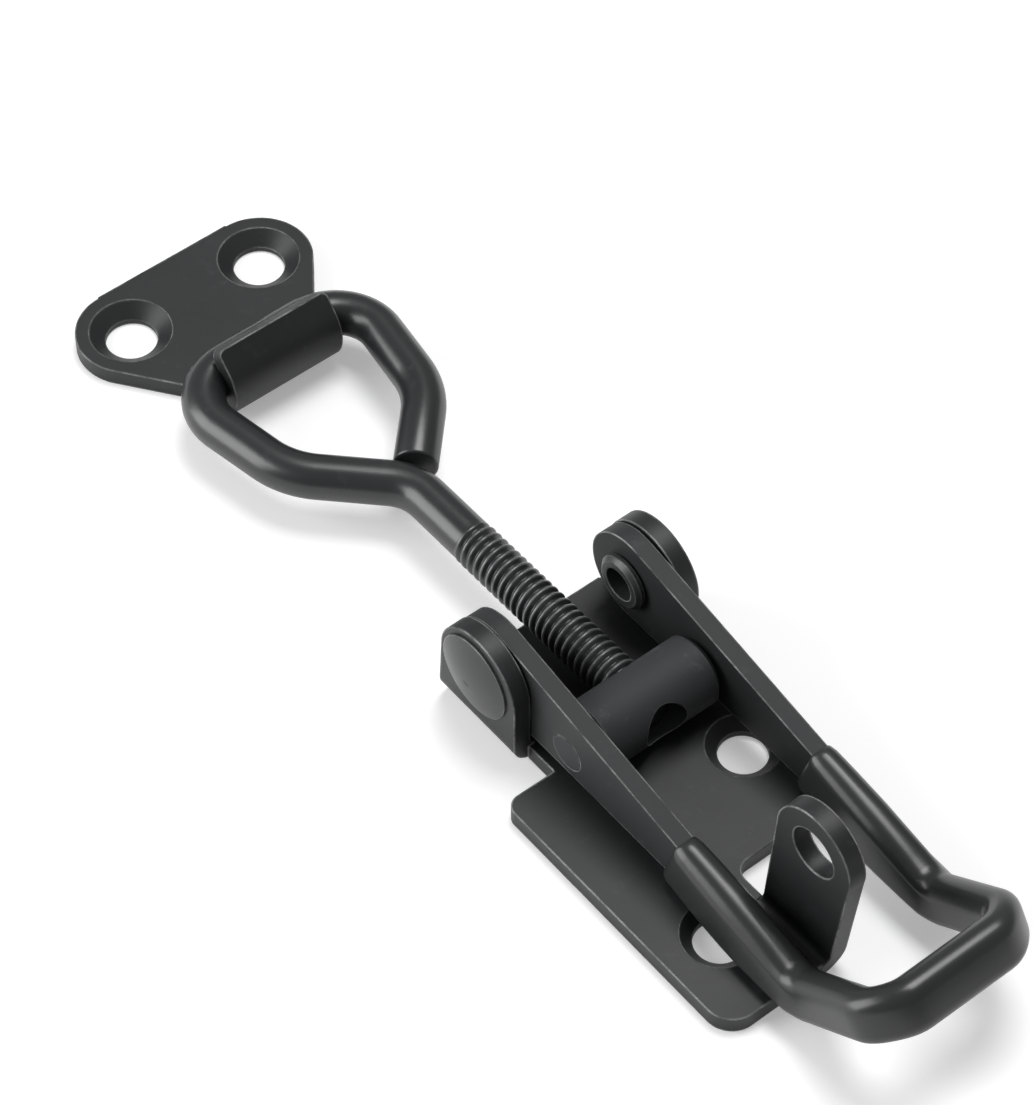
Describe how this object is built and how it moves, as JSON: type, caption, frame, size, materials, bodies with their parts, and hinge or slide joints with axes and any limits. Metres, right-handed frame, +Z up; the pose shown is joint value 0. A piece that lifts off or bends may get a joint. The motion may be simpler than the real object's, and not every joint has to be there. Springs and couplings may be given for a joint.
{
  "type": "over centre toggle latch",
  "caption": "Adjustable over centre toggle latch: looped hook bolt in a pivoting lever with a sleeved bail grip, stamped base with padlock tab, and a separate hooked catch plate.",
  "frame": {"origin": "on the mounting face of the base, straight under the handle pivot, in the middle between the ears", "axes": "+X from the pivot towards the grip, +Z up from the mounting face, -Y is the side with the flange"},
  "size_m": [0.1283, 0.0307, 0.0211],
  "materials": {
    "coated_sheet": "satin black coat on steel sheet",
    "coated_rivet": "satin black coat on steel",
    "coated_turned": "satin black coat on turned steel",
    "coated_wire": "satin black coat on steel wire",
    "grip_plastic": "soft black plastic, slightly glossy"
  },
  "bodies": {
    "base": {"base_bracket": "coated_sheet", "rivet_near": "coated_rivet", "rivet_far": "coated_rivet"},
    "lever": {"handle": "coated_sheet", "grip_sleeve": "grip_plastic"},
    "barrel": {"trunnion": "coated_turned"},
    "hook_bolt": {"pull_rod": "coated_wire"},
    "catch": {"catch_plate": "coated_sheet"}
  },
  "joints": [
    {"name": "handle_pivot", "type": "hinge", "parent": "base", "child": "lever", "pos_m": [0, 0, 0.0087], "axis": [0, -1, 0], "range_deg": [0, 155]},
    {"name": "barrel_pivot", "type": "hinge", "parent": "lever", "child": "barrel", "pos_m": [0.0114, 0, 0.0062], "axis": [0, -1, 0], "range_deg": [-155, 0]},
    {"name": "rod_adjust", "type": "slide", "parent": "barrel", "child": "hook_bolt", "axis": [0.9998, 0, 0.0185], "range_m": [-0.002, 0.01]},
    {"name": "catch_swing", "type": "hinge", "parent": "hook_bolt", "child": "catch", "pos_m": [-0.05084, 0, 0.00505], "axis": [0, -1, 0], "range_deg": [-75, 45]}
  ],
  "couplings": [
    {"joint": "barrel_pivot", "follows": "handle_pivot", "ratio": -1}
  ]
}
